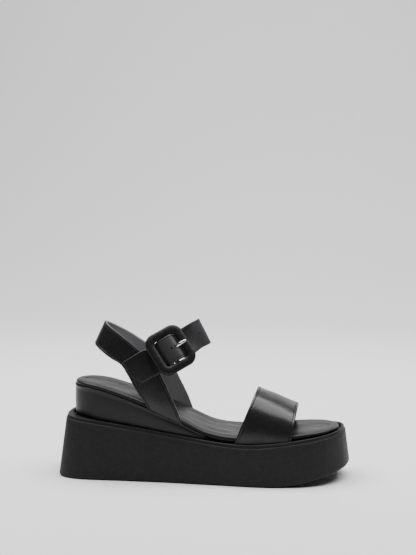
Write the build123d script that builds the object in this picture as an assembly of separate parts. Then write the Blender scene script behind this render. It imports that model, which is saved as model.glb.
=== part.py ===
from build123d import *
from math import cos, sin, tan, pi, radians, copysign
import os

# Wedge sandal, right foot, EU 37.  Millimetres, Z up, +X toe, +Y medial side.
# Origin: middle of the ground-contact rectangle, on the floor.

# ---- driving dimensions ----------------------------------------------------
DRAFT = 7.5                  # side walls lean in towards the top, degrees
DRAFT_HEIGHT = 70.0
SPRING_START = 60.0          # flat tread behind this
SPRING_RADIUS = 190.0
SPRING_ANGLE = 13.5
EDGE_ROUND = 2.5             # rounding of the tread edge
BAND_HEIGHT = 3.0            # plain band above the flared wall
BAND_STEP = 0.6              # band stands back from the wall
TRAY_DEPTH = 2.6             # recess that the footbed and the wedge sit in
TRAY_GAP = 2.6               # from the footbed edge to the tray wall
BOARD = 1.6                  # insole board thickness
WEDGE_GROW = 1.0             # wedge stands this far outside the footbed
COVER = 1.2                  # leather wrap of wedge and footbed
LIP = 0.8                    # wrap rises above the board as a lip
OUTER, LINING, BOND = 1.2, 1.0, 0.05   # strap leathers and the bond line between
STRAP_WIDTH = 24.8
FIT = 0.03                   # bonded faces
CENTRE = (-1.05, 1.25, 0.0)   # brings the middle of the sole's footprint to the origin

# buckle: leather covered square frame with a centre bar
FRAME_ALONG, FRAME_ACROSS, FRAME_THICK = 36.6, 41.4, 5.4
WINDOW_ALONG, WINDOW_ACROSS = 21.0, 26.6
FRAME_MID = 0.5              # middle of the frame above the bar plane
WRAP = 1.2
BAR_R, BAR_DROP = 1.2, -1.0
BAR_LENGTH = 30.0
TONGUE_WIDTH, TONGUE_THICK = 2.6, 1.5
RUNNING = 0.06               # radial clearance of tongue eye on the bar
CHAPE = 2.4                  # folded leather that carries the buckle
HOLE_PITCH, HOLE_D = 8.4, 1.8

# side profile heights along the sole: (x, z)
RIM = [(-138, 57.8), (-80, 50.6), (-20, 42.2), (28, 36.2), (62, 36.9), (140, 47.4)]
FOOT_TOP = [(-125, 87.4), (-96, 84.2), (-74, 78.3), (-44, 67.8), (-14, 55.4), (8, 45.6),
            (31, 41.9), (62, 42.3), (108, 46.6), (130, 47.2)]
STACK = 5.4                  # footbed thickness over the wedge

# plan outlines, counter-clockwise from the heel
SOLE = [(-132.2, 0), (-131.5, -14), (-128, -28), (-118.5, -37), (-102, -41), (-70, -42),
        (-30, -43.5), (15, -47.5), (55, -51), (86, -48.5), (108, -41.2), (122, -30.5), (131.5, -17),
        (135.6, -1), (135.6, 14), (131, 28), (121, 38.5), (104, 45.5), (78, 48.5), (45, 46.5),
        (5, 41.5), (-35, 39.5), (-70, 40), (-101, 39.8), (-118, 35.5), (-128, 26), (-131.5, 13)]
FOOT = [(-117.5, 0), (-112.5, -16), (-98, -25.5), (-70, -28.5), (-30, -32.5), (10, -36),
        (50, -38.3), (84, -36.8), (108, -28.5), (120.5, -14), (124, 3), (121, 18), (108, 29.5),
        (84, 35.8), (50, 35.5), (10, 30.5), (-30, 27.5), (-70, 27.2), (-98, 24.8), (-112.5, 16)]


def smooth(points):
    """Height function through a few points, slopes from the neighbours."""
    xs, zs = [p[0] for p in points], [p[1] for p in points]
    last = len(xs) - 1
    slope = [(zs[min(i + 1, last)] - zs[max(i - 1, 0)]) / (xs[min(i + 1, last)] - xs[max(i - 1, 0)])
             for i in range(last + 1)]

    def height(x):
        i = max(k for k in range(last) if xs[k] <= x or k == 0)
        h = xs[i + 1] - xs[i]
        t = (x - xs[i]) / h
        return ((1 + 2 * t) * (1 - t) ** 2 * zs[i] + t * (1 - t) ** 2 * h * slope[i]
                + t * t * (3 - 2 * t) * zs[i + 1] + t * t * (t - 1) * h * slope[i + 1])
    return height


rim_z = smooth(RIM)
foot_z = smooth(FOOT_TOP)


def seat_z(x):
    """Top of the insole board: on the tray in front, under the footbed on the wedge."""
    front, rear = rim_z(x) - TRAY_DEPTH + BOARD, foot_z(x) - STACK
    blend = min(max((x - 4) / 18, 0), 1)
    blend = blend * blend * (3 - 2 * blend)
    return rear * (1 - blend) + front * blend


# ---- helpers ----------------------------------------------------------------
def grow(points, d):
    """Move each outline point outwards by d along the local normal."""
    out, n = [], len(points)
    for i in range(n):
        (x0, y0), (x1, y1) = points[i - 1], points[(i + 1) % n]
        length = ((x1 - x0) ** 2 + (y1 - y0) ** 2) ** 0.5
        out.append((points[i][0] + d * (y1 - y0) / length, points[i][1] - d * (x1 - x0) / length))
    return out


def loop(points, d, z):
    return Wire([Spline(*[(x, y, z) for x, y in grow(points, d)], periodic=True)])


def prism(points, d, top=170.0):
    """Upright block on an outline."""
    return Solid.extrude(Face(loop(points, d, -10)), Vector(0, 0, top))


def drafted(points, d, edge=0.0):
    """Block on an outline with walls that lean in, and a rounded lower edge."""
    lean = tan(radians(DRAFT))
    rounding = [(0, 1.0), (0.35, 0.3)] if edge else [(0, 0)]
    sections = [loop(points, d - edge * inwards - edge * up * lean, edge * up) for up, inwards in rounding]
    sections += [loop(points, d - edge * lean, edge)] if edge else []
    sections.append(loop(points, d - DRAFT_HEIGHT * lean, DRAFT_HEIGHT))
    return Solid.make_loft(sections, True)


def slab(low, high, x0, x1, steps=16):
    """Solid between two height curves, wide in Y."""
    xs = [x0 + (x1 - x0) * i / steps for i in range(steps + 1)]
    bottom = Spline(*[(x, -90, low(x)) for x in xs])
    top = Spline(*[(x, -90, high(x)) for x in xs])
    sides = [Line(bottom @ 1, top @ 1), Line(top @ 0, bottom @ 0)]
    return Solid.extrude(Face(Wire([bottom, sides[0], top, sides[1]])), Vector(0, 180, 0))


def unit(v):
    return Vector(*v).normalized()


def refine(rows, pitch):
    """Evenly spaced rows on smooth edge curves through the given rows."""
    flat = [(*a, *b) for a, b in rows]
    run = [0.0]
    for p, q in zip(flat, flat[1:]):
        run.append(run[-1] + sum((p[i] + p[i + 3] - q[i] - q[i + 3]) ** 2 for i in range(3)) ** 0.5 / 2)
    edge = [smooth(list(zip(run, column))) for column in zip(*flat)]
    count = round(run[-1] / pitch)
    rows = [[f(run[-1] * i / count) for f in edge] for i in range(count + 1)]
    return [(tuple(r[:3]), tuple(r[3:])) for r in rows]


def band(rows, inner, outer, trim=0.0, pitch=5.0):
    """Strap solid through rows of (edge, edge) points, from inner to outer offset."""
    rows = [(Vector(*a), Vector(*b)) for a, b in refine(rows, pitch)]
    mids = [(a + b) * 0.5 for a, b in rows]
    wires = []
    for i, (a, b) in enumerate(rows):
        along = mids[min(i + 1, len(mids) - 1)] - mids[max(i - 1, 0)]
        across = (b - a).normalized()
        out = across.cross(along).normalized()
        a, b = a + across * trim, b - across * trim
        wires.append(Wire.make_polygon(
            [a + out * inner, b + out * inner, b + out * outer, a + out * outer], close=True))
    return Solid.make_loft(wires)


def keep(shape):
    """Largest closed solid of a cut result."""
    return max(shape.solids(), key=lambda s: s.volume)


# ---- sole -------------------------------------------------------------------
def toe_spring_cut():
    a = radians(SPRING_ANGLE)
    start = (SPRING_START, -90, 0)
    lift = (SPRING_START + SPRING_RADIUS * sin(a), -90, SPRING_RADIUS * (1 - cos(a)))
    middle = (SPRING_START + SPRING_RADIUS * sin(a / 2), -90, SPRING_RADIUS * (1 - cos(a / 2)))
    end = (150, -90, lift[2] + (150 - lift[0]) * tan(a))
    edges = [ThreePointArc(start, middle, lift), Line(lift, end), Line(end, (150, -90, -5)),
             Line((150, -90, -5), (SPRING_START, -90, -5)), Line((SPRING_START, -90, -5), start)]
    return Solid.extrude(Face(Wire(edges)), Vector(0, 180, 0))


def platform():
    wall = drafted(SOLE, 0, EDGE_ROUND) & slab(lambda x: -5, lambda x: rim_z(x) - BAND_HEIGHT, -138, 140)
    wall = keep(keep(wall) - toe_spring_cut())
    rim = keep(drafted(SOLE, -BAND_STEP) & slab(lambda x: 25, rim_z, -138, 140))
    tray = keep(prism(FOOT, TRAY_GAP) & slab(lambda x: rim_z(x) - TRAY_DEPTH, lambda x: 90, -138, 140))
    return keep(wall + rim - tray)


def wedge_zone(x1=5.0):
    """Space between the tray floor and the underside of the insole board."""
    return slab(lambda x: rim_z(x) - TRAY_DEPTH + FIT, lambda x: seat_z(x) - BOARD - FIT, -130, x1)


def wedge_core():
    return keep(prism(FOOT, WEDGE_GROW - COVER - FIT) & wedge_zone())


def wedge_cover():
    """Leather wrapped round the wedge wall, standing up as a lip beside the footbed."""
    ring = prism(FOOT, WEDGE_GROW) - prism(FOOT, WEDGE_GROW - COVER)
    zone = slab(lambda x: rim_z(x) - TRAY_DEPTH + FIT, lambda x: seat_z(x) + LIP, -130, 9.0)
    return keep(keep(ring) & zone)


def insole_board():
    zone = slab(lambda x: seat_z(x) - BOARD, seat_z, -130, 136)
    above_tray = slab(lambda x: rim_z(x) - TRAY_DEPTH + FIT, lambda x: 90, -138, 140)
    return keep(keep(prism(FOOT, WEDGE_GROW - COVER - FIT) & zone) & above_tray)


def footbed_cover():
    """Leather over the padding, turned down at the edge."""
    side = WEDGE_GROW - COVER - FIT
    skin = keep(prism(FOOT, side) & slab(lambda x: seat_z(x) + FIT, foot_z, -130, 136))
    inside = keep(prism(FOOT, side - COVER) & slab(lambda x: seat_z(x) - 3, lambda x: foot_z(x) - COVER, -130, 136))
    return keep(skin - inside)


def footbed_foam():
    side = WEDGE_GROW - 2 * COVER - 2 * FIT
    return keep(prism(FOOT, side) & slab(lambda x: seat_z(x) + FIT, lambda x: foot_z(x) - COVER - FIT, -130, 136))


# ---- vamp -------------------------------------------------------------------
VAMP_HALF, VAMP_BASE = 39.2, 35.4        # half width at the sole, height of the tucked ends
VAMP_REAR = (32.6, 79.3, 0.405)          # base x, crown z, lean of the rear edge
VAMP_FRONT = (82.0, 64.0, 0.19)
VAMP_BELLY = 1.4                         # the arch swells outwards above the sole
VAMP_POWER = 0.86                        # squareness of the arch


def vamp_edge(x0, crown, lean, a):
    """Point on one edge of the vamp arch; a runs from the lateral to the medial base."""
    y = -copysign(abs(cos(a)) ** VAMP_POWER, cos(a)) * VAMP_HALF
    y -= copysign(VAMP_BELLY * sin(2 * min(a, pi - a)) ** 2, cos(a))
    z = VAMP_BASE + (crown - VAMP_BASE) * abs(sin(a)) ** VAMP_POWER
    return (x0 + (z - VAMP_BASE) * lean, y, z)


def vamp_rows(steps=14):
    angles = [pi * i / steps for i in range(steps + 1)]
    return [(vamp_edge(*VAMP_REAR, a), vamp_edge(*VAMP_FRONT, a)) for a in angles]


# ---- heel sling -------------------------------------------------------------
# (lower edge, upper edge, medial shifts of both in y and of the upper in x) from the base to the back of the heel
SLING = [((-42.5, -30.4, 57), (-12.5, -33.2, 46.5), (-3.6, -4.6, 2.0)),
         ((-46, -30.6, 65.5), (-16, -33.4, 56), (-3.4, -4.4, 2.4)),
         ((-51, -30.6, 73), (-21, -32.8, 68), (-2.8, -3.6, 2.6)),
         ((-57.5, -29.8, 82), (-27.5, -31.4, 81), (-2.0, -2.4, 2.6)),
         ((-64.3, -28.4, 93.5), (-34, -29.6, 94), (-1.0, -1.2, 2.4)),
         ((-70.8, -26.6, 102.5), (-43, -27.4, 107), (-1.0, -1.8, 1.0)),
         ((-80.5, -23.4, 107.6), (-56, -24.8, 117), (-2.6, -4.6, 0)),
         ((-90.5, -17.0, 113.4), (-72, -20.0, 128.4), (-3.6, -6.0, 0)),
         ((-97.5, -8.5, 117.6), (-85.4, -11.0, 136.4), (-1.8, -3.4, 0))]
SLING_BACK = ((-99.6, 0, 119), (-90, 0, 139.3))


def sling_rows():
    """Lateral rows, the back of the heel, then the medial rows; the arch side sits further in."""
    lateral = [(low, high) for low, high, _ in SLING]
    medial = [((low[0], -low[1] + shift[0], low[2]), (high[0] + shift[2], -high[1] + shift[1], high[2]))
              for low, high, shift in reversed(SLING)]
    return lateral + [SLING_BACK] + medial


def sling_face_y(z):
    """Outside of the lateral sling under the chape."""
    return -(24.8 + (117 - z) * 0.165) - OUTER


# ---- buckle frame of reference ------------------------------------------------
BUCKLE_AT = Vector(-25.5, -28.5, 116.8)
ALONG = unit((0.815, 0.36, 0.455))       # strap direction under the buckle
FACING = unit((0.16, -0.893, 0.421))     # the way the buckle faces
FACING = (FACING - ALONG * FACING.dot(ALONG)).normalized()
UP = FACING.cross(ALONG)                 # across the strap, upwards
SEAT = Plane(origin=BUCKLE_AT, x_dir=ALONG, z_dir=FACING)


def spot(u, v, w):
    p = BUCKLE_AT + ALONG * u + UP * v + FACING * w
    return (p.X, p.Y, p.Z)


# ---- ankle strap ------------------------------------------------------------
# strap centre under, over and under the buckle: (along, height)
WEAVE = [(-16.8, -4.8), (-14, -4.75), (-11.6, -4.3), (-9.0, -2.9), (-7.5, -0.6), (-5.2, 1.6), (0, 2.75),
         (4.6, 2.3), (7.1, 0.5), (8.5, -2.0), (10.4, -4.1), (13.4, -4.7), (18, -4.7)]
BAR_TOP = 6                  # the row of WEAVE that lies on the bar
BEND = [(-5.4, -13.0, 128.0), (-0.4, -6.6, 130.4), (1.1, 0.0, 131.2)]
BEND_ACROSS = (-0.455, 0.0, 0.89)
MEDIAL = [(-13.5, 18.6, 122.6), (-27.5, 24.6, 114.2), (-42, 28.8, 105.6), (-52, 30.4, 99.6)]


def strap_rows():
    half = STRAP_WIDTH / 2
    rows = [(spot(u, half, w), spot(u, -half, w)) for u, w in WEAVE]

    def row(p, across):
        across = unit(across) * half
        c = Vector(*p)
        return (tuple(c + across), tuple(c - across))
    rows += [row(p, BEND_ACROSS) for p in BEND]
    rows += [row((x, -y, z - 1.0), BEND_ACROSS) for x, y, z in reversed(BEND[:-1])]
    medial_across = (UP.X, -UP.Y, UP.Z)
    rows += [row(p, medial_across) for p in MEDIAL]
    return rows


def punch(rows, distance):
    """Round cutter through the strap, at a distance along it from the top of the bar."""
    fine = [(Vector(*a) + Vector(*b)) * 0.5 for a, b in refine(rows, 0.5)]
    start = min(range(len(fine)), key=lambda i: (fine[i] - Vector(*spot(0, 0, WEAVE[BAR_TOP][1]))).length)
    i = start + round(distance / 0.5)
    axis = UP.cross(fine[i + 1] - fine[i - 1]).normalized()
    return Plane(origin=fine[i] - axis * 2.5, z_dir=axis) * Cylinder(
        HOLE_D / 2, 5.0, align=(Align.CENTER, Align.CENTER, Align.MIN))


def strap_holes():
    """Four free holes, and the slot round the tongue in place of the second."""
    cuts = SEAT * Pos(5.75, 0, 4.3) * Box(5.1, TONGUE_WIDTH + 0.9, 9)
    for k in (0, 2, 3, 4):
        cuts = cuts + punch(strap_rows(), 1.7 + k * HOLE_PITCH)
    return cuts


def ankle_strap(inner, outer):
    body = band(strap_rows(), inner, outer, pitch=2.6)
    return keep(body - strap_holes())


# ---- chape --------------------------------------------------------------------
CHAPE_LOOP = [(-2.7, -2.3), (-6.2, -5.0), (-10.5, -6.9), (-15, -7.3)]
CHAPE_PATCH = [((-69.5, 104.8), (-62, 93.0)), ((-60, 110.8), (-50.5, 87.0)), ((-51, 116.4), (-40, 92.8))]


def chape():
    """Folded leather: a patch on the sling and a loop round the centre bar."""
    def on_sling(x, z):
        return (x, sling_face_y(z) - 0.7 - CHAPE / 2, z)
    rows = [(on_sling(*high), on_sling(*low)) for high, low in CHAPE_PATCH]
    rows += [(spot(u, 11.3, w), spot(u, -11.3, w)) for u, w in reversed(CHAPE_LOOP)]
    strip = band(rows, -CHAPE / 2, CHAPE / 2, pitch=3.0)
    ring = SEAT * Pos(0, 0, BAR_DROP) * Rot(90, 0, 0) * Cylinder(BAR_R + 1.3, 22.6)
    bore = SEAT * Pos(0, 0, BAR_DROP) * Rot(90, 0, 0) * Cylinder(BAR_R + RUNNING, 60)
    gap = SEAT * Pos(0, 0, BAR_DROP) * Box(9.6, TONGUE_WIDTH + 1.0, 9)
    return keep(strip + ring - bore - gap)


# ---- buckle -------------------------------------------------------------------
def ring_plate(along, across, window_along, window_across, thick, corner, window_corner):
    plate = RectangleRounded(along, across, corner) - RectangleRounded(window_along, window_across, window_corner)
    return extrude(plate, thick / 2, both=True)


def buckle_bar():
    return SEAT * Pos(0, 0, BAR_DROP) * Rot(90, 0, 0) * Cylinder(BAR_R, BAR_LENGTH)


def buckle_core():
    core = ring_plate(FRAME_ALONG - 2 * WRAP, FRAME_ACROSS - 2 * WRAP, WINDOW_ALONG + 2 * WRAP,
                      WINDOW_ACROSS + 2 * WRAP, FRAME_THICK - 2 * WRAP, 6.4, 3.8)
    return keep(SEAT * Pos(0, 0, FRAME_MID) * core - buckle_bar())


def buckle_wrap():
    body = ring_plate(FRAME_ALONG, FRAME_ACROSS, WINDOW_ALONG, WINDOW_ACROSS, FRAME_THICK, 8.0, 2.2)
    rims = [e for f in body.faces() if abs(f.normal_at().Z) > 0.9 for e in f.edges()]
    body = fillet(rims, 1.6)
    inside = ring_plate(FRAME_ALONG - 2 * WRAP, FRAME_ACROSS - 2 * WRAP, WINDOW_ALONG + 2 * WRAP,
                        WINDOW_ACROSS + 2 * WRAP, FRAME_THICK - 2 * WRAP, 6.4, 3.8)
    return keep(SEAT * Pos(0, 0, FRAME_MID) * (body - inside) - buckle_bar())


def buckle_tongue():
    """Prong with an eye round the bar, through the strap, resting over the front rim."""
    eye = Cylinder(BAR_R + 0.95, TONGUE_WIDTH)
    top = FRAME_MID + FRAME_THICK / 2 + 0.35 + TONGUE_THICK / 2 - BAR_DROP
    path = [(1.3, 0.5), (4.2, 1.1), (7.0, 3.1), (10.0, top - 0.15), (16.0, top - 0.1)]
    line = Spline(*path)
    side = [line.position_at(t) + Vector(-line.tangent_at(t).Y, line.tangent_at(t).X) * TONGUE_THICK / 2
            for t in (0, 0.25, 0.5, 0.75, 1)]
    under = [line.position_at(t) - Vector(-line.tangent_at(t).Y, line.tangent_at(t).X) * TONGUE_THICK / 2
             for t in (0, 0.25, 0.5, 0.75, 1)]
    edge = [Spline(*side), Line(side[-1], under[-1]), Spline(*under), Line(under[0], side[0])]
    prong = extrude(make_face(edge), TONGUE_WIDTH / 2, both=True)
    body = eye + prong - Cylinder(BAR_R + RUNNING, 10)
    return keep(SEAT * Pos(0, 0, BAR_DROP) * Rot(90, 0, 0) * body)


# ---- assemble -----------------------------------------------------------------
def main():
    vamp, sling, strap = vamp_rows(), sling_rows(), strap_rows()
    vamp_pocket = band(vamp, -LINING - BOND - 0.1, OUTER + 0.1, -0.2)
    sling_pocket = band(sling, -LINING - BOND - 0.1, OUTER + 0.1, -0.2)
    parts = {
        "platform": platform() - vamp_pocket,
        "wedge_core": wedge_core() - sling_pocket,
        "wedge_cover": wedge_cover() - sling_pocket,
        "insole_board": insole_board() - sling_pocket - vamp_pocket,
        "footbed_foam": footbed_foam() - sling_pocket - vamp_pocket,
        "footbed_cover": footbed_cover() - sling_pocket - vamp_pocket,
        "vamp_outer": band(vamp, 0, OUTER),
        "vamp_lining": band(vamp, -LINING - BOND, -BOND),
        "sling_outer": band(sling, 0, OUTER),
        "sling_lining": band(sling, -LINING - BOND, -BOND),
        "ankle_strap_outer": ankle_strap(0.05, 1.05),
        "ankle_strap_lining": ankle_strap(-0.95, 0) - sling_pocket,
        "chape": chape() - sling_pocket,
        "buckle_core": buckle_core(),
        "buckle_wrap": buckle_wrap(),
        "buckle_bar": buckle_bar(),
        "buckle_tongue": buckle_tongue(),
    }
    os.makedirs("parts", exist_ok=True)
    for name, shape in parts.items():
        solid = keep(shape).moved(Location(CENTRE))
        box = solid.bounding_box()
        print(f"{name:20s} solids {len(shape.solids())} valid {solid.is_valid} vol {solid.volume:9.1f} "
              f"x {box.min.X:7.1f} {box.max.X:6.1f} y {box.min.Y:6.1f} {box.max.Y:6.1f} "
              f"z {box.min.Z:6.1f} {box.max.Z:6.1f}")
        export_step(solid, f"parts/{name}.step")


main()
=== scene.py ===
import bpy
from math import sin, cos, tan, pi, radians, copysign, hypot
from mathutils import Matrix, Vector, noise
from mathutils.bvhtree import BVHTree


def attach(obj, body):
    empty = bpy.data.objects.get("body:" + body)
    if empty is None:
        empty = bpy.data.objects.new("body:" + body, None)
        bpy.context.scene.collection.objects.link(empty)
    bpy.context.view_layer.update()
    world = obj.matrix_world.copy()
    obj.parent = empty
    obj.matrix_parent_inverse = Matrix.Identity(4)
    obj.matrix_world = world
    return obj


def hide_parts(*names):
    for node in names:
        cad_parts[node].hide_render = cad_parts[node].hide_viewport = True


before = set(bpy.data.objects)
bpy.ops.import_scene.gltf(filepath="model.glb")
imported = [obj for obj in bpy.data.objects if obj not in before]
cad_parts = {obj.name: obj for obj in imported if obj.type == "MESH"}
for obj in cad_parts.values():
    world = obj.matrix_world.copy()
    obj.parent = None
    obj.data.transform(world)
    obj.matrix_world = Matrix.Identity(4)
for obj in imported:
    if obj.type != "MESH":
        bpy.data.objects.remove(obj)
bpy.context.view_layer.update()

# ---- shape of the sandal, in millimetres and degrees, as the CAD part has it -----------
MM = 0.001                   # metres in a millimetre
CENTRE = Vector((-1.05, 1.25, 0.0))
DRAFT, EDGE_ROUND, BAND_HEIGHT, BAND_STEP = 7.5, 2.5, 3.0, 0.8
TRAY_DEPTH, TRAY_GAP, BOARD, STACK = 2.6, 2.6, 1.6, 5.4
WEDGE_GROW, COVER, LIP = 1.0, 1.2, 0.8
OUTER, LINING, BOND = 1.2, 1.0, 0.05
SPRING_START, SPRING_RADIUS, SPRING_ANGLE = 60.0, 190.0, 13.5
STRAP_WIDTH, CHAPE, HOLE_PITCH, HOLE_D = 24.8, 2.4, 8.4, 1.8
RIM = [(-138, 57.8), (-80, 50.6), (-20, 42.2), (28, 36.2), (62, 36.9), (140, 47.4)]
FOOT_TOP = [(-125, 87.4), (-96, 84.2), (-74, 78.3), (-44, 67.8), (-14, 55.4), (8, 45.6),
            (31, 41.9), (62, 42.3), (108, 46.6), (130, 47.2)]
SOLE = [(-132.2, 0), (-131.5, -14), (-128, -28), (-118.5, -37), (-102, -41), (-70, -42),
        (-30, -43.5), (15, -47.5), (55, -51), (86, -48.5), (108, -41.2), (122, -30.5), (131.5, -17),
        (135.6, -1), (135.6, 14), (131, 28), (121, 38.5), (104, 45.5), (78, 48.5), (45, 46.5),
        (5, 41.5), (-35, 39.5), (-70, 40), (-101, 39.8), (-118, 35.5), (-128, 26), (-131.5, 13)]
FOOT = [(-117.5, 0), (-112.5, -16), (-98, -25.5), (-70, -28.5), (-30, -32.5), (10, -36),
        (50, -38.3), (84, -36.8), (108, -28.5), (120.5, -14), (124, 3), (121, 18), (108, 29.5),
        (84, 35.8), (50, 35.5), (10, 30.5), (-30, 27.5), (-70, 27.2), (-98, 24.8), (-112.5, 16)]
VAMP_HALF, VAMP_BASE, VAMP_BELLY, VAMP_POWER = 39.2, 35.4, 1.4, 0.86
VAMP_REAR, VAMP_FRONT = (32.6, 79.3, 0.405), (82.0, 64.0, 0.19)
SLING = [((-42.5, -30.4, 57), (-12.5, -33.2, 46.5), (-3.6, -4.6, 2.0)),
         ((-46, -30.6, 65.5), (-16, -33.4, 56), (-3.4, -4.4, 2.4)),
         ((-51, -30.6, 73), (-21, -32.8, 68), (-2.8, -3.6, 2.6)),
         ((-57.5, -29.8, 82), (-27.5, -31.4, 81), (-2.0, -2.4, 2.6)),
         ((-64.3, -28.4, 93.5), (-34, -29.6, 94), (-1.0, -1.2, 2.4)),
         ((-70.8, -26.6, 102.5), (-43, -27.4, 107), (-1.0, -1.8, 1.0)),
         ((-80.5, -23.4, 107.6), (-56, -24.8, 117), (-2.6, -4.6, 0)),
         ((-90.5, -17.0, 113.4), (-72, -20.0, 128.4), (-3.6, -6.0, 0)),
         ((-97.5, -8.5, 117.6), (-85.4, -11.0, 136.4), (-1.8, -3.4, 0))]
SLING_BACK = ((-99.6, 0, 119), (-90, 0, 139.3))
BUCKLE_AT = Vector((-25.5, -28.5, 116.8))
ALONG = Vector((0.815, 0.36, 0.455)).normalized()
FACING = Vector((0.16, -0.893, 0.421))
FACING = (FACING - ALONG * FACING.dot(ALONG)).normalized()
UP = FACING.cross(ALONG)
BAR_R, BAR_DROP = 1.2, -1.0
FRAME_ALONG, FRAME_ACROSS, FRAME_THICK, FRAME_MID = 36.6, 41.4, 5.4, 0.5
WINDOW_ALONG, WINDOW_ACROSS = 21.0, 26.6
WEAVE = [(-16.8, -4.8), (-14, -4.75), (-11.6, -4.3), (-9.0, -2.9), (-7.5, -0.6), (-5.2, 1.6), (0, 2.75),
         (5.0, 2.4), (7.7, 0.6), (8.9, -2.0), (10.6, -4.1), (13.4, -4.7), (18, -4.7)]
BEND = [(-5.4, -13.0, 128.0), (-0.4, -6.6, 130.4), (1.1, 0.0, 131.2)]
BEND_ACROSS = Vector((-0.455, 0.0, 0.89))
MEDIAL = [(-13.5, 18.6, 122.6), (-27.5, 24.6, 114.2), (-42, 28.8, 105.6), (-52, 30.4, 99.6)]
CHAPE_LOOP = [(-2.7, -2.3), (-6.2, -5.0), (-10.5, -6.9), (-15, -7.3)]
CHAPE_PATCH = [((-69.5, 104.8), (-62, 93.0)), ((-60, 110.8), (-50.5, 87.0)), ((-51, 116.4), (-40, 92.8))]

# ---- finish that only the visual model has, in millimetres ----------------------------
STRAP_FOLD, ANKLE_FOLD = 2.3, 1.9        # stitch line from the strap's edge
THREAD_SINK = 0.06                       # a thread lies this far into the leather
STITCH_RADIUS, STITCH_LENGTH, STITCH_GAP = 0.24, 2.5, 0.7
STRAP_PITCH, ANKLE_PITCH = 1.2, 0.8      # rows along a strap
HOLE_START = 1.9                         # first punched hole from the top of the weave
PATCH_LIFT = 1.35                        # top of the stitched patch over the sling
PATCH_INSET = 2.0                        # its stitch line from the edge
PATCH_OUT = Vector((0.0, -0.985, 0.17))  # the way the patch faces
CHAPE_HALF, CHAPE_SLOT_HALF = 12.3, 2.1  # half widths of the loop and of its gap for the tongue
SEWN_CELLS = 24                          # cells across the chape


def smooth(points):
    """Smooth height over x through the points."""
    xs, zs = [p[0] for p in points], [p[1] for p in points]
    last = len(xs) - 1
    slope = [(zs[min(i + 1, last)] - zs[max(i - 1, 0)]) / (xs[min(i + 1, last)] - xs[max(i - 1, 0)])
             for i in range(last + 1)]

    def height(x):
        i = max(k for k in range(last) if xs[k] <= x or k == 0)
        h = xs[i + 1] - xs[i]
        t = (x - xs[i]) / h
        return ((1 + 2 * t) * (1 - t) ** 2 * zs[i] + t * (1 - t) ** 2 * h * slope[i]
                + t * t * (3 - 2 * t) * zs[i + 1] + t * t * (t - 1) * h * slope[i + 1])
    return height


def ease(a, b, x):
    """0 before a, 1 after b, smooth between."""
    t = min(max((x - a) / (b - a), 0), 1)
    return t * t * (3 - 2 * t)


rim_z, foot_z = smooth(RIM), smooth(FOOT_TOP)


def seat_z(x):
    """Top of the insole board."""
    front, rear, blend = rim_z(x) - TRAY_DEPTH + BOARD, foot_z(x) - STACK, ease(4, 22, x)
    return rear * (1 - blend) + front * blend


def tread_z(x):
    """Underside height: flat, then an arc, then a straight rise to the toe."""
    a, run = radians(SPRING_ANGLE), x - SPRING_START
    if run <= 0:
        return 0.0
    if run < SPRING_RADIUS * sin(a):
        return SPRING_RADIUS - (SPRING_RADIUS ** 2 - run ** 2) ** 0.5
    return SPRING_RADIUS * (1 - cos(a)) + (run - SPRING_RADIUS * sin(a)) * tan(a)


# ---- mesh helpers -----------------------------------------------------------------
def outline(points, count=320):
    """Closed smooth curve through the points, evenly spaced, starting at the heel."""
    fine, n = [], len(points)
    for i in range(n):
        p0, p1, p2, p3 = (points[(i + k) % n] for k in (-1, 0, 1, 2))
        for s in range(24):
            t = s / 24
            fine.append(tuple(0.5 * (2 * b + (c - a) * t + (2 * a - 5 * b + 4 * c - d) * t * t
                                     + (3 * b - a - 3 * c + d) * t ** 3)
                              for a, b, c, d in zip(p0, p1, p2, p3)))
    run = [0.0]
    for p, q in zip(fine, fine[1:] + fine[:1]):
        run.append(run[-1] + hypot(q[0] - p[0], q[1] - p[1]))
    out, k = [], 0
    for i in range(count):
        at = run[-1] * i / count
        while run[k + 1] < at:
            k += 1
        t = (at - run[k]) / (run[k + 1] - run[k])
        p, q = fine[k], fine[(k + 1) % len(fine)]
        out.append((p[0] + (q[0] - p[0]) * t, p[1] + (q[1] - p[1]) * t))
    return out


def grow(ring, d):
    """The outline moved out by d."""
    out, n = [], len(ring)
    for i in range(n):
        (x0, y0), (x1, y1) = ring[i - 2], ring[(i + 2) % n]
        length = hypot(x1 - x0, y1 - y0)
        out.append((ring[i][0] + d * (y1 - y0) / length, ring[i][1] - d * (x1 - x0) / length))
    return out


def piece(name, verts, faces, body, slot=None, replaces=()):
    """Object in metres that rides on a body."""
    mesh = bpy.data.meshes.new(name)
    mesh.from_pydata([(Vector(v) + CENTRE) * MM for v in verts], [], faces)
    mesh.validate()
    mesh.polygons.foreach_set("use_smooth", [True] * len(mesh.polygons))
    obj = bpy.data.objects.new(name, mesh)
    bpy.context.scene.collection.objects.link(obj)
    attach(obj, body)
    if replaces:
        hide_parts(*replaces)
    return obj


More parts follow.
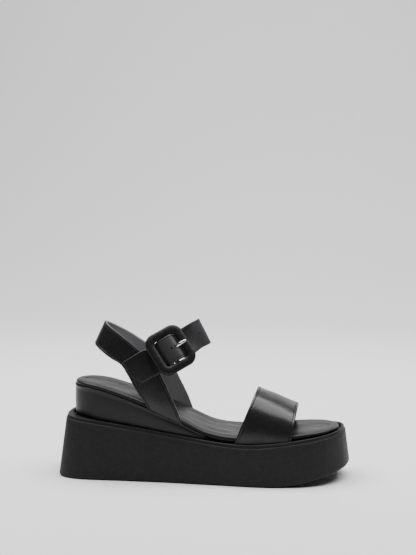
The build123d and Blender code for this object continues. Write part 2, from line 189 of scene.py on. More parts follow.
def stack(rings, top=None, bottom=None, rungs=26):
    """Faces between rings of 3-D points that all start at the heel; ladder fills close the ends."""
    n = len(rings[0])
    verts = [p for ring in rings for p in ring]
    faces = []
    for r in range(len(rings) - 1):
        for i in range(n):
            j = (i + 1) % n
            faces.append((r * n + i, r * n + j, (r + 1) * n + j, (r + 1) * n + i))
    for end, height in ((-1, top), (0, bottom)):
        if height is None:
            continue
        base = (len(rings) - 1) * n if end == -1 else 0
        ring = rings[end]
        rows = []
        for i in range(1, n // 2):
            a, b = ring[i], ring[n - i]
            row = [base + i]
            for k in range(1, rungs):
                t = k / rungs
                x, y = a[0] + (b[0] - a[0]) * t, a[1] + (b[1] - a[1]) * t
                verts.append((x, y, height(x, y, min(k, rungs - k) / rungs * 2)))
                row.append(len(verts) - 1)
            rows.append(row + [base + n - i])
        tips = (base, base + n // 2)
        for p, q in zip(rows, rows[1:]):
            for k in range(rungs):
                quad = (p[k], q[k], q[k + 1], p[k + 1])
                faces.append(quad if end == -1 else quad[::-1])
        for k in range(rungs):
            near, far = (tips[0], rows[0][k], rows[0][k + 1]), (tips[1], rows[-1][k + 1], rows[-1][k])
            faces += [near, far] if end == -1 else [near[::-1], far[::-1]]
    return verts, faces


def refine(rows, pitch):
    """Evenly spaced rows along the smooth strap through the given ones."""
    flat = [(*a, *b) for a, b in rows]
    run = [0.0]
    for p, q in zip(flat, flat[1:]):
        run.append(run[-1] + sum((p[i] + p[i + 3] - q[i] - q[i + 3]) ** 2 for i in range(3)) ** 0.5 / 2)
    edge = [smooth(list(zip(run, column))) for column in zip(*flat)]
    count = round(run[-1] / pitch)
    rows = [[f(run[-1] * i / count) for f in edge] for i in range(count + 1)]
    return [(Vector(r[:3]), Vector(r[3:])) for r in rows]


def frames(rows):
    """For each row: first edge, unit vector across, width, outward normal."""
    mids = [(a + b) / 2 for a, b in rows]
    out = []
    for i, (a, b) in enumerate(rows):
        along = mids[min(i + 1, len(mids) - 1)] - mids[max(i - 1, 0)]
        across = (b - a).normalized()
        out.append((a, across, (b - a).length, across.cross(along).normalized()))
    return out


def strap(rows, inner, outer, fold=STRAP_FOLD, crown=0.25, hem=0.12, groove=0.42, ripple=0.0, seed=0.0):
    """Leather strip with rolled edges, a folded hem, a sunk stitch line and a slight crown."""
    verts, faces = [], []
    r, middle = (outer - inner) / 2, (inner + outer) / 2
    cells = frames(rows)

    def rolled(a, across, out, at, side, angle):
        q = radians(angle)
        return a + across * (at + side * r * 0.25 * cos(q)) + out * (middle - r * 0.8 * sin(q))
    for a, across, width, out in cells:
        ring = []
        marks = [0.35, 0.9, 1.3, fold - 0.55, fold - 0.2, fold + 0.2, fold + 0.55, fold + 1.1]
        inside = [fold + 1.1 + (width - 2 * fold - 2.2) * k / 14 for k in range(1, 14)]
        places = marks + inside + [width - m for m in reversed(marks)]
        for s in places:
            e = min(s, width - s)
            up = hem * (1 - ease(fold - 0.5, fold + 0.5, e)) - groove * max(0, 1 - abs(e - fold) / 0.55)
            up += crown * ease(fold, width / 2, e) - (0.25 if e < 0.5 else 0)
            p = a + across * s
            if ripple:
                up += ripple * noise.noise(Vector((p.x, p.y, p.z)) * 0.09 + Vector((seed, 0, 0)))
            ring.append(p + out * (outer + up))
        ring += [rolled(a, across, out, width, 1, q) for q in (-50, 0, 50)]
        for s in (width - 0.4, width * 0.75, width / 2, width * 0.25, 0.4):
            ring.append(a + across * s + out * inner)
        ring += [rolled(a, across, out, 0, -1, q) for q in (50, 0, -50)]
        count = len(ring)
        verts += ring
    for i in range(len(cells) - 1):
        for k in range(count):
            m = (k + 1) % count
            faces.append((i * count + k, i * count + m, (i + 1) * count + m, (i + 1) * count + k))
    faces.append(tuple(range(count))[::-1])
    faces.append(tuple(range((len(cells) - 1) * count, len(cells) * count)))
    return verts, faces


def thread(points, normals):
    """Row of separate stitches lying along a line."""
    radius, length, gap = STITCH_RADIUS, STITCH_LENGTH, STITCH_GAP
    verts, faces = [], []
    run = [0.0]
    for p, q in zip(points, points[1:]):
        run.append(run[-1] + (q - p).length)

    def at(s):
        k = max(i for i in range(len(run) - 1) if run[i] <= s)
        t = (s - run[k]) / max(run[k + 1] - run[k], 1e-6)
        return points[k].lerp(points[k + 1], t), normals[k]
    s = gap
    while s + length < run[-1]:
        (a, n), (b, _) = at(s), at(s + length)
        axis = (b - a).normalized()
        side = axis.cross(n).normalized()
        base = len(verts)
        for k in range(7):
            f = k / 6
            c = a.lerp(b, f) + n * (radius * 0.7 * sin(pi * f) - radius * 0.35)
            wide = radius * (sin(pi * min(max(f, 0.06), 0.94)) ** 0.4)
            for q in range(6):
                verts.append(c + side * (wide * cos(pi * q / 3)) + n * (wide * sin(pi * q / 3)))
        for k in range(6):
            for q in range(6):
                faces.append((base + k * 6 + q, base + k * 6 + (q + 1) % 6,
                              base + (k + 1) * 6 + (q + 1) % 6, base + (k + 1) * 6 + q))
        faces += [tuple(range(base, base + 6))[::-1], tuple(range(base + 36, base + 42))]
        s += length + gap
    return verts, faces


def merge(*parts):
    """One mesh from several."""
    verts, faces = [], []
    for v, f in parts:
        base = len(verts)
        verts += v
        faces += [tuple(i + base for i in face) for face in f]
    return verts, faces


def edge_thread(rows, inset, lift, ends=(0, 0)):
    """Stitches along both edges of a strap."""
    cells = frames(rows)
    cells = cells[ends[0]:len(cells) - ends[1]]
    out = []
    for side in (0, 1):
        line = [a + across * (inset if side == 0 else width - inset) + n * lift
                for a, across, width, n in cells]
        out.append(thread(line, [c[3] for c in cells]))
    return merge(*out)


# ---- materials ------------------------------------------------------------------------
def material(name, base, rough, grain=0.0, cell=0.9, fine=0.0, crease=0.0, spread=0.12, metal=0.0,
             specular=0.5, edge_highlight=0.0, mottle=60.0):
    """Procedural leather, rubber or metal.

    grain, fine and crease are bump strengths; cell is the grain's size in millimetres;
    spread is the colour's variation and mottle its scale; edge_highlight paints a highlight on sharp edges.
    """
    mat = bpy.data.materials.new(name)
    mat.use_nodes = True
    nodes, links = mat.node_tree.nodes, mat.node_tree.links
    shader = nodes["Principled BSDF"]
    shader.inputs["Metallic"].default_value = metal
    shader.inputs["Specular IOR Level"].default_value = specular
    coords = nodes.new("ShaderNodeTexCoord")

    def tex(kind, scale, **sockets):
        node = nodes.new(kind)
        links.new(coords.outputs["Object"], node.inputs["Vector"])
        node.inputs["Scale"].default_value = scale
        for key, value in sockets.items():
            node.inputs[key].default_value = value
        return node

    cloud = tex("ShaderNodeTexNoise", mottle, Detail=7.0, Roughness=0.7)
    ramp = nodes.new("ShaderNodeValToRGB")
    low, high = [c * (1 - spread) for c in base], [min(c * (1 + spread), 1) for c in base]
    ramp.color_ramp.elements[0].position, ramp.color_ramp.elements[1].position = 0.3, 0.7
    ramp.color_ramp.elements[0].color, ramp.color_ramp.elements[1].color = (*low, 1), (*high, 1)
    links.new(cloud.outputs["Fac"], ramp.inputs["Fac"])
    colour = ramp.outputs["Color"]
    # sharp edges lightened by pointiness: a painted highlight
    if edge_highlight:
        edge = nodes.new("ShaderNodeNewGeometry")
        pick = nodes.new("ShaderNodeMapRange")
        pick.inputs["From Min"].default_value, pick.inputs["From Max"].default_value = 0.52, 0.62
        pick.inputs["To Max"].default_value = edge_highlight
        links.new(edge.outputs["Pointiness"], pick.inputs["Value"])
        mix = nodes.new("ShaderNodeMix")
        mix.data_type = "RGBA"
        mix.inputs["B"].default_value = (*[min(c * 2.6 + 0.01, 1) for c in base], 1)
        links.new(pick.outputs["Result"], mix.inputs["Factor"])
        links.new(colour, mix.inputs["A"])
        colour = mix.outputs["Result"]
    links.new(colour, shader.inputs["Base Color"])
    haze = tex("ShaderNodeTexNoise", 70.0, Detail=4.0)
    level = nodes.new("ShaderNodeMapRange")
    level.inputs["To Min"].default_value, level.inputs["To Max"].default_value = rough - 0.06, rough + 0.07
    links.new(haze.outputs["Fac"], level.inputs["Value"])
    links.new(level.outputs["Result"], shader.inputs["Roughness"])
    normal = None
    for strength, node, socket, depth in (
            (grain, "ShaderNodeTexVoronoi", "Distance", 0.00012),
            (fine, "ShaderNodeTexNoise", "Fac", 0.00030),
            (crease, "ShaderNodeTexNoise", "Fac", 0.0012)):
        if not strength:
            continue
        if node == "ShaderNodeTexVoronoi":
            source = tex(node, 1000.0 / cell)
        else:
            source = tex(node, 620.0 if depth < 0.001 else 42.0, Detail=6.0 if depth < 0.001 else 3.0)
        bump = nodes.new("ShaderNodeBump")
        bump.inputs["Strength"].default_value = strength
        bump.inputs["Distance"].default_value = depth
        links.new(source.outputs[socket], bump.inputs["Height"])
        if normal:
            links.new(normal, bump.inputs["Normal"])
        normal = bump.outputs["Normal"]
    if normal:
        links.new(normal, shader.inputs["Normal"])
    return mat


def paint(obj, mat):
    obj.data.materials.clear()
    obj.data.materials.append(mat)
    return obj


SOLE_MAT = material("moulded_rubber", (0.0098, 0.0095, 0.0104), 0.62, fine=0.9, grain=0.3, cell=1.3,
                    spread=0.32, edge_highlight=0.3, specular=0.27, mottle=260.0)
# a darker copy of the platform rubber for the recessed band and rim: painted shade under the rim
RIM_SHADE_MAT = material("rim_rubber_painted_shade", (0.0055, 0.0053, 0.0058), 0.55, fine=0.6, spread=0.3,
                   specular=0.3, mottle=220.0)
WEDGE_MAT = material("wedge_leather", (0.0072, 0.0068, 0.0075), 0.42, grain=0.35, cell=0.8, fine=0.12,
                     edge_highlight=0.5, specular=0.31)
STRAP_MAT = material("strap_leather", (0.0112, 0.0108, 0.0118), 0.27, grain=0.25, cell=0.75, fine=0.06,
                     crease=0.03, edge_highlight=0.35, specular=0.34)
ANKLE_MAT = material("ankle_leather", (0.0250, 0.0243, 0.0262), 0.45, grain=0.45, cell=0.9, fine=0.25,
                     edge_highlight=0.35, specular=0.3)
CHAPE_MAT = material("chape_leather", (0.0095, 0.0092, 0.0100), 0.38, grain=0.35, cell=0.8, fine=0.1,
                     edge_highlight=0.2, specular=0.3)
LINING_MAT = material("lining_leather", (0.22, 0.21, 0.22), 0.5, grain=0.3, cell=0.7, fine=0.15,
                      crease=0.12)
# the lining leather darkened for the ankle strap: painted shade on its inside
SHADED_ANKLE_LINING_MAT = material("ankle_lining_painted_shade", (0.03, 0.0285, 0.030), 0.55, grain=0.3, cell=0.7, fine=0.15)
FOOTBED_MAT = material("footbed_leather", (0.0085, 0.0080, 0.0088), 0.38, grain=0.3, cell=0.8, fine=0.10,
                       crease=0.12, spread=0.15, specular=0.24)
BUCKLE_MAT = material("buckle_leather", (0.0040, 0.0038, 0.0042), 0.46, grain=0.35, cell=0.8, fine=0.2,
                      edge_highlight=0.5, specular=0.25)
THREAD_MAT = material("thread", (0.004, 0.004, 0.0044), 0.7, fine=0.5, specular=0.2)
STEEL_MAT = material("bright_steel", (0.86, 0.86, 0.85), 0.16, metal=1.0, fine=0.02, spread=0.03)
BOARD_MAT = material("fibre_board", (0.010, 0.009, 0.010), 0.8, fine=0.5)
FOAM_MAT = material("padding_foam", (0.02, 0.02, 0.021), 0.9, grain=0.6, cell=1.0)
for node, mat in (("wedge_core", FOAM_MAT), ("insole_board", BOARD_MAT),
                  ("buckle_core", STEEL_MAT), ("buckle_bar", STEEL_MAT)):
    paint(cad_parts[node], mat)


# ---- platform --------------------------------------------------------------------------
def build_platform():
    """Moulded unit: leaning walls, a recessed band under the rim and a tray for the footbed."""
    sole, foot, lean = outline(SOLE), outline(FOOT), tan(radians(DRAFT))

    def ring(base, d, height):
        return [(x, y, height(x)) for x, y in grow(base, d)]

    def wall(above, extra=0.0):
        """Ring on the leaning wall, above the tread."""
        pts = []
        for (x, y), (nx, ny) in zip(sole, grow(sole, 1.0)):
            z = tread_z(x) + above
            d = -z * lean - extra
            pts.append((x + (nx - x) * d, y + (ny - y) * d, z))
        return pts

    def under_rim(below, d=0.0):
        """Ring on the leaning wall, below the rim's top edge and d further out."""
        pts = []
        for (x, y), (nx, ny) in zip(sole, grow(sole, 1.0)):
            z = rim_z(x) - below
            k = -z * lean + d
            px, py = x + (nx - x) * k, y + (ny - y) * k
            pts.append((px, py, rim_z(px) - below))
        return pts
    rings, floor_z = [], lambda x: rim_z(x) - TRAY_DEPTH
    for q in (0, 20, 40, 60, 80):
        r = EDGE_ROUND
        rings.append(wall(r * (1 - cos(radians(q))), r * (1 - sin(radians(q)))))
    low, high = wall(EDGE_ROUND), under_rim(BAND_HEIGHT + 0.15)
    for t in (0, 0.15, 0.35, 0.6, 0.85, 1.0):
        rings.append([tuple(a + (b - a) * t for a, b in zip(p, q)) for p, q in zip(low, high)])
    band_ring = len(rings)
    rings.append(under_rim(BAND_HEIGHT - 0.05, -0.12))
    rings.append(under_rim(BAND_HEIGHT - 0.1, -BAND_STEP))
    rings.append(under_rim(BAND_HEIGHT - 0.3, -BAND_STEP - 0.05))
    for q in (0, 30, 60, 90):
        r = 0.45
        rings.append(under_rim(r * (1 - sin(radians(q))), -BAND_STEP - r * (1 - cos(radians(q)))))
    for q in (90, 60, 30, 0):
        r = 0.4
        out = TRAY_GAP + r * (1 - cos(radians(90 - q)))
        rings.append(ring(foot, out, lambda x: rim_z(x) - r * (1 - sin(radians(q)))))
    rings.append(ring(foot, TRAY_GAP, lambda x: rim_z(x) - TRAY_DEPTH + 0.3))
    rings.append(ring(foot, TRAY_GAP - 0.3, floor_z))
    verts, faces = stack(rings, top=lambda x, y, e: floor_z(x), bottom=lambda x, y, e: tread_z(x))
    obj = piece("platform_unit", verts, faces, "sandal", "sole", ["platform"])
    paint(obj, SOLE_MAT).data.materials.append(RIM_SHADE_MAT)
    # faces from the recessed band up take the darker rubber: painted shade under the rim
    for face in obj.data.polygons:
        ring_no = min(face.vertices) // len(sole)
        face.material_index = int(band_ring <= ring_no < len(rings))


def build_wedge_cover():
    """Leather round the wedge wall from one waist to the other, with a raised lip."""
    foot = outline(FOOT, 420)
    n = len(foot)
    keep = [i for i in range(n // 2, n + n // 2) if foot[i % n][0] < 8.0]
    verts, faces = [], []
    normal = grow(foot, 1.0)
    for i in keep:
        x, y = foot[i % n]
        nx, ny = normal[i % n][0] - x, normal[i % n][1] - y
        base, top = rim_z(x) - TRAY_DEPTH + 0.05, seat_z(x) + LIP
        top = max(top, base + 0.6)
        tall = top - base
        wall = [(-0.1, base), (0, base + tall * 0.12), (0.25, base + tall * 0.35),
                (0.3, base + tall * 0.6), (0.1, base + tall * 0.85)]
        lip = [(-0.1, top - min(1.9, tall * 0.12)), (0.05, top - min(1.5, tall * 0.1)),
               (0.42, top - min(1.0, tall * 0.08)), (0.5, top - min(0.5, tall * 0.05)),
               (0.3, top), (-0.1, top + 0.16), (-0.6, top + 0.1)]
        inside = [(-0.95, top - 0.4), (-1.1, top - min(1.4, tall * 0.1)), (-1.2, base)]
        section = [(WEDGE_GROW + d, z) for d, z in wall + lip + inside]
        verts += [(x + nx * d, y + ny * d, z) for d, z in section]
    m = len(section)
    for i in range(len(keep) - 1):
        for k in range(m - 1):
            faces.append((i * m + k, i * m + k + 1, (i + 1) * m + k + 1, (i + 1) * m + k))
    faces += [tuple(range(m)), tuple(range((len(keep) - 1) * m, len(keep) * m))[::-1]]
    paint(piece("wedge_wrap", verts, faces, "sandal", "wedge_leather", ["wedge_cover"]), WEDGE_MAT)


# ---- footbed -----------------------------------------------------------------------------
def dish(x, y, e):
    """Pressed-in heel cup, a raised arch on the medial side and a soft forepart."""
    heel = -0.8 * ease(-30, -80, x) * ease(0.1, 0.9, e)
    arch = 0.8 * ease(12, 26, y) * ease(-60, -20, x) * ease(30, -5, x)
    ball = -0.7 * ease(20, 60, x) * ease(0.1, 0.9, e)
    crumple = 0.42 * noise.noise(Vector((x * 0.05, y * 0.10, 3.1)))
    crumple += 0.2 * noise.noise(Vector((x * 0.16, y * 0.22, 7.7)))
    for cx, cy, slant, size in ((-88, -14, 0.35, 0.55), (-74, -6, -0.2, 0.4), (-62, -18, 0.5, 0.4)):
        d = (y - cy) - slant * (x - cx)
        crumple -= size * max(0, 1 - abs(d) / 1.6) * max(0, 1 - abs(x - cx) / 16)
    return heel + arch + ball + crumple * ease(0.0, 0.3, e)


def build_footbed():
    """Padded leather footbed with a round side roll and a seam line inside its edge."""
    foot = outline(FOOT)
    side = WEDGE_GROW - COVER

    def ring(d, height):
        return [(x, y, height(x)) for x, y in grow(foot, d)]
    rings = [ring(side - 1.6, lambda x: seat_z(x) + 0.1), ring(side - 1.0, lambda x: seat_z(x) + 0.3),
             ring(side - 0.5, lambda x: seat_z(x) + 0.9)]

    def puff(t, d):
        return ring(side + d, lambda x: seat_z(x) + 0.9 + (foot_z(x) - seat_z(x) - 0.9) * t)
    rings += [puff(0.12, 0.1), puff(0.3, 0.5), puff(0.5, 0.6), puff(0.68, 0.35),
              puff(0.83, -0.25), puff(0.93, -1.1),
              puff(0.99, -2.2), puff(1.02, -3.4), puff(1.01, -4.4), puff(0.99, -4.9), puff(0.95, -5.2),
              puff(0.99, -5.55), puff(1.01, -6.2), puff(1.02, -7.4)]
    verts, faces = stack(rings, top=lambda x, y, e: foot_z(x) + dish(x, y, e), rungs=36,
                         bottom=lambda x, y, e: seat_z(x) + 0.1)
    obj = piece("footbed", verts, faces, "sandal", "footbed_leather",
                ["footbed_cover", "footbed_foam"])
    paint(obj, FOOTBED_MAT)


# ---- straps --------------------------------------------------------------------------------
def vamp_edge(x0, crown, lean, a):
    y = -copysign(abs(cos(a)) ** VAMP_POWER, cos(a)) * VAMP_HALF
    y -= copysign(VAMP_BELLY * sin(2 * min(a, pi - a)) ** 2, cos(a))
    z = VAMP_BASE + (crown - VAMP_BASE) * abs(sin(a)) ** VAMP_POWER
    return (x0 + (z - VAMP_BASE) * lean, y, z)


def vamp_rows(steps=14):
    angles = [pi * i / steps for i in range(steps + 1)]
    return [(vamp_edge(*VAMP_REAR, a), vamp_edge(*VAMP_FRONT, a)) for a in angles]


def sling_rows():
    lateral = [(low, high) for low, high, _ in SLING]
    medial = [((low[0], -low[1] + s[0], low[2]), (high[0] + s[2], -high[1] + s[1], high[2]))
              for low, high, s in reversed(SLING)]
    return lateral + [SLING_BACK] + medial


def spot(u, v, w):
    """Point in the buckle's own directions: along the strap, across it, outward."""
    return BUCKLE_AT + ALONG * u + UP * v + FACING * w


def strap_rows():
    half = STRAP_WIDTH / 2
    rows = [(spot(u, half, w), spot(u, -half, w)) for u, w in WEAVE]

    def row(p, across):
        across = across.normalized() * half
        return (Vector(p) + across, Vector(p) - across)
    rows += [row(p, BEND_ACROSS) for p in BEND]
    rows += [row((x, -y, z - 1.0), BEND_ACROSS) for x, y, z in reversed(BEND[:-1])]
    rows += [row(p, Vector((UP.x, -UP.y, UP.z))) for p in MEDIAL]
    return rows


def vamp_or_sling(name, rows, nodes, crown, ripple, seed, ends):
    """A strap, its lining and its stitching."""
    top = strap(rows, 0.02, OUTER, crown=crown, ripple=ripple, seed=seed)
    outer = piece(name[0], *top, "sandal", "strap_leather", [nodes[0]])
    paint(outer, STRAP_MAT)
    under = strap(rows, -BOND, -LINING, hem=0, groove=0, crown=0)
    paint(piece(name[1], *under, "sandal", "lining_leather", [nodes[1]]), LINING_MAT)
    stitches = edge_thread(rows, STRAP_FOLD, OUTER - THREAD_SINK, ends)
    paint(piece(name[2], *stitches, "sandal", "strap_leather"), THREAD_MAT)
    return outer


def build_straps():
    """The toe strap, then the sling round the heel, which is returned for the chape to lie on."""
    vamp_or_sling(("vamp_strap", "vamp_inside", "vamp_thread"), refine(vamp_rows(), STRAP_PITCH),
                  ("vamp_outer", "vamp_lining"), 0.35, 0.22, 0.0, (4, 4))
    return vamp_or_sling(("heel_sling", "heel_sling_inside", "sling_thread"),
                         refine(sling_rows(), STRAP_PITCH), ("sling_outer", "sling_lining"),
                         0.2, 0.2, 5, (8, 8))


def build_ankle_strap():
    """Ankle strap with its lining, stitches, round holes and the slit for the tongue."""
    rows = refine(strap_rows(), ANKLE_PITCH)
    top = strap(rows, 0.05, 1.05, crown=0.12, hem=0.08, groove=0.3, fold=ANKLE_FOLD)
    outer = piece("ankle_strap", *top, "sandal", "strap_leather", ["ankle_strap_outer"])
    paint(outer, ANKLE_MAT)
    under = strap(rows, 0, -0.95, hem=0, groove=0, crown=0)
    inner = piece("ankle_strap_inside", *under, "sandal", "lining_leather", ["ankle_strap_lining"])
    # the strap's inside takes the darkened lining: painted shade
    paint(inner, SHADED_ANKLE_LINING_MAT)
    stitches = edge_thread(rows, ANKLE_FOLD, 0.98, (3, 3))
    paint(piece("ankle_thread", *stitches, "sandal", "strap_leather"), THREAD_MAT)
    mids = [(a + b) / 2 for a, b in rows]
    start = min(range(len(mids)), key=lambda i: (mids[i] - spot(0, 0, 2.75)).length)
    step = (mids[start + 1] - mids[start]).length
    for k in (0, 2, 3, 4):
        i = start + round((HOLE_START + k * HOLE_PITCH) / step)
        axis = UP.cross(mids[i + 1] - mids[i - 1]).normalized()
        for target in (outer, inner):
            punch(target, mids[i], axis, HOLE_D / 2)
    slot = cutter_box(spot(6.0, 0, 4.4), 5.4, 3.5, 9.4)
    for target in (outer, inner):
        cut(target, slot)
    bpy.data.objects.remove(slot)


def cut(target, tool):
    """Takes the tool away from a piece and applies the result."""
    mod = target.modifiers.new("cut", "BOOLEAN")
    mod.object, mod.operation, mod.solver = tool, "DIFFERENCE", "EXACT"
    deps = bpy.context.evaluated_depsgraph_get()
    mesh = bpy.data.meshes.new_from_object(target.evaluated_get(deps))
    target.modifiers.clear()
    target.data = mesh
    mesh.set_sharp_from_angle(angle=radians(38))


def punch(target, at, axis, radius):
    """Round hole through a piece."""
    side = axis.orthogonal().normalized()
    other = axis.cross(side)
    verts, n = [], 20
    for end in (-3.0, 3.0):
        for q in range(n):
            a = 2 * pi * q / n
            verts.append((at + side * radius * cos(a) + other * radius * sin(a) + axis * end + CENTRE) * MM)
    faces = [(q, (q + 1) % n, n + (q + 1) % n, n + q) for q in range(n)]
    faces += [tuple(range(n))[::-1], tuple(range(n, 2 * n))]
    tool = solid("punch", verts, faces)
    cut(target, tool)
    bpy.data.objects.remove(tool)


def cutter_box(at, along, across, deep):
    """Box in the buckle's directions, for cutting the slit."""
    verts = [(at + ALONG * (along / 2 * i) + UP * (across / 2 * j) + FACING * (deep / 2 * k) + CENTRE) * MM
             for k in (-1, 1) for i, j in ((-1, -1), (1, -1), (1, 1), (-1, 1))]
    faces = [(3, 2, 1, 0), (4, 5, 6, 7), (0, 1, 5, 4), (1, 2, 6, 5), (2, 3, 7, 6), (3, 0, 4, 7)]
    return solid("slot", verts, faces)


def solid(name, verts, faces):
    """Object from a mesh already in metres."""
    mesh = bpy.data.meshes.new(name)
    mesh.from_pydata(verts, [], faces)
    obj = bpy.data.objects.new(name, mesh)
    bpy.context.scene.collection.objects.link(obj)
    return obj


# ---- chape -----------------------------------------------------------------------------
def near_side(sling):
    """Function giving y on the lateral face of the sling at x and z, or None."""
    mesh = sling.data
    tree = BVHTree.FromPolygons([v.co for v in mesh.vertices], [p.vertices for p in mesh.polygons])

    def at(x, z):
        start = (Vector((x, -60, z)) + CENTRE) * MM
        hit = tree.ray_cast(start, Vector((0, 1, 0)))[0]
        near = hit is not None and hit.y < 0 and start.z > 0
        return hit.y / MM - CENTRE.y if near else None
    return at


def chape_lines(sling):
    """Rows across the chape: the patch on the sling, a bridge, then the loop to the bar."""
    surface = near_side(sling)
    key = [((hx, 0, hz), (lx, 0, lz)) for (hx, hz), (lx, lz) in CHAPE_PATCH]
    dense = []
    for (a0, b0), (a1, b1) in zip(key, key[1:]):
        for k in range(12):
            dense.append((Vector(a0).lerp(Vector(a1), k / 12), Vector(b0).lerp(Vector(b1), k / 12)))
    dense.append((Vector(key[-1][0]), Vector(key[-1][1])))
    loops = [(spot(u, CHAPE_HALF, w), spot(u, -CHAPE_HALF, w)) for u, w in reversed(CHAPE_LOOP)]
    lines = []
    for a, b in dense:
        line = []
        for k in range(SEWN_CELLS + 1):
            p = a.lerp(b, k / SEWN_CELLS)
            y = surface(p.x, p.z)
            p.y = y if y is not None else -(24.8 + (117 - p.z) * 0.165) - OUTER
            line.append(p)
        lines.append(line)
    tail = [[a.lerp(b, k / SEWN_CELLS) for k in range(SEWN_CELLS + 1)] for a, b in loops]
    last = lines[-1]
    for t in (0.25, 0.5, 0.75):
        lines.append([p.lerp(q - FACING * (CHAPE / 2), ease(0, 1, t)) for p, q in zip(last, tail[0])])
    lines += [[p - FACING * (CHAPE / 2) for p in line] for line in tail]
    return lines, len(dense)


def chape_skin(lines):
    """Closed leather sheet on the rows, thin over the sling and full thickness at the loop."""
    verts, faces, across, count = [], [], SEWN_CELLS, len(lines)
    for layer in (0.06, PATCH_LIFT):
        for i, line in enumerate(lines):
            before, after = lines[max(i - 1, 0)], lines[min(i + 1, count - 1)]
            for k, p in enumerate(line):
                n = (line[min(k + 1, across)] - line[max(k - 1, 0)]).cross(after[k] - before[k]).normalized()
                n = n if n.y < 0 else -n
                edge = 1.0 if layer > 1 and (k in (0, across) or i == 0) else 0.0
                height = layer if i < count - 5 else (CHAPE if layer > 1 else 0.06)
                verts.append(p + n * (height - 0.35 * edge))
    w = across + 1
    top = count * w
    for i in range(count - 1):
        for k in range(across):
            faces.append((i * w + k, i * w + k + 1, (i + 1) * w + k + 1, (i + 1) * w + k))
            faces.append((top + i * w + k, top + (i + 1) * w + k,
                          top + (i + 1) * w + k + 1, top + i * w + k + 1))
        for k in (0, across):
            quad = (i * w + k, (i + 1) * w + k, top + (i + 1) * w + k, top + i * w + k)
            faces.append(quad if k == 0 else quad[::-1])
    for k in range(across):
        faces.append((k, top + k, top + k + 1, k + 1))
        e = (count - 1) * w
        faces.append((e + k, e + k + 1, top + e + k + 1, top + e + k))
    return verts, faces


def chape_sleeve():
    """The leather round the bar, in two halves with the tongue's gap between."""
    verts, faces, n = [], [], 28
    for v in (-CHAPE_HALF, -CHAPE_SLOT_HALF, CHAPE_SLOT_HALF, CHAPE_HALF):
        for radius in (BAR_R + 0.1, BAR_R + 1.3):
            for q in range(n):
                a = 2 * pi * q / n
                verts.append(spot(radius * cos(a), v, BAR_DROP + radius * sin(a)))
    for block in (0, 4):
        b = block * n
        for q in range(n):
            m = (q + 1) % n
            faces += [(b + n + q, b + n + m, b + 3 * n + m, b + 3 * n + q),
                      (b + m, b + q, b + 2 * n + q, b + 2 * n + m),
                      (b + q, b + m, b + n + m, b + n + q),
                      (b + 3 * n + q, b + 3 * n + m, b + 2 * n + m, b + 2 * n + q)]
    return verts, faces


def build_chape(sling):
    """Folded tab: the stitched patch lies on the sling, the loop goes round the bar."""
    lines, patch_rows = chape_lines(sling)
    across = SEWN_CELLS
    obj = piece("chape_tab", *merge(chape_skin(lines), chape_sleeve()), "sandal", "strap_leather", ["chape"])
    paint(obj, CHAPE_MAT)
    rows = lines[:patch_rows]
    k0, k1 = round(PATCH_INSET / 25 * across), across - round(PATCH_INSET / 25 * across)
    path = [rows[i][k0] for i in range(len(rows) - 1, 2, -1)]
    path += [rows[2][k] for k in range(k0 + 1, k1)]
    path += [rows[i][k1] for i in range(3, len(rows))]
    line = [p + PATCH_OUT * (PATCH_LIFT - 0.04) for p in path]
    stitches = thread(line, [PATCH_OUT] * len(line))
    paint(piece("chape_thread", *stitches, "sandal", "strap_leather"), THREAD_MAT)


# ---- buckle -----------------------------------------------------------------------------------
def rounded_path(a, b, r, steps=14):
    """Points and outward directions round a rounded rectangle, half sizes a and b."""
    out = []
    corners = ((a - r, b - r, 0), (-a + r, b - r, 90), (-a + r, -b + r, 180), (a - r, -b + r, 270))
    for cx, cy, start in corners:
        for k in range(steps + 1):
            q = radians(start + 90 * k / steps)
            out.append(((cx + r * cos(q), cy + r * sin(q)), (cos(q), sin(q))))
    dense = []
    for (p, n), (q, _) in zip(out, out[1:] + out[:1]):
        parts = max(1, round(hypot(q[0] - p[0], q[1] - p[1]) / 1.2))
        dense += [((p[0] + (q[0] - p[0]) * k / parts, p[1] + (q[1] - p[1]) * k / parts), n)
                  for k in range(parts)]
    return dense


def build_wrap():
    """Leather-covered frame: a rounded section swept round the window."""
    half_u = (FRAME_ALONG - WINDOW_ALONG) / 4
    half_v = (FRAME_ACROSS - WINDOW_ACROSS) / 4 + 0.15
    path = rounded_path((FRAME_ALONG + WINDOW_ALONG) / 4,
                        (FRAME_ACROSS + WINDOW_ACROSS) / 4 - 0.15, 6.3)
    verts, faces, m = [], [], 26
    for (x, y), (nx, ny) in path:
        half = half_u * abs(nx) + half_v * abs(ny)
        half = half / max(hypot(nx, ny), 1e-6)
        half = min(half, half_u + 0.1)
        for q in range(m):
            a = 2 * pi * q / m
            d = copysign(abs(cos(a)) ** 0.72, cos(a)) * half
            h = copysign(abs(sin(a)) ** 0.72, sin(a)) * FRAME_THICK / 2
            if sin(a) > 0:
                h += 0.18 * noise.noise(Vector((x, y, 2.0)) * 0.3)
            verts.append(spot(x + nx * d, y + ny * d, FRAME_MID + h))
    n = len(path)
    for i in range(n):
        j = (i + 1) % n
        for q in range(m):
            p = (q + 1) % m
            faces.append((i * m + q, j * m + q, j * m + p, i * m + p))
    paint(piece("buckle_frame", verts, faces, "buckle", "buckle_leather", ["buckle_wrap"]), BUCKLE_MAT)


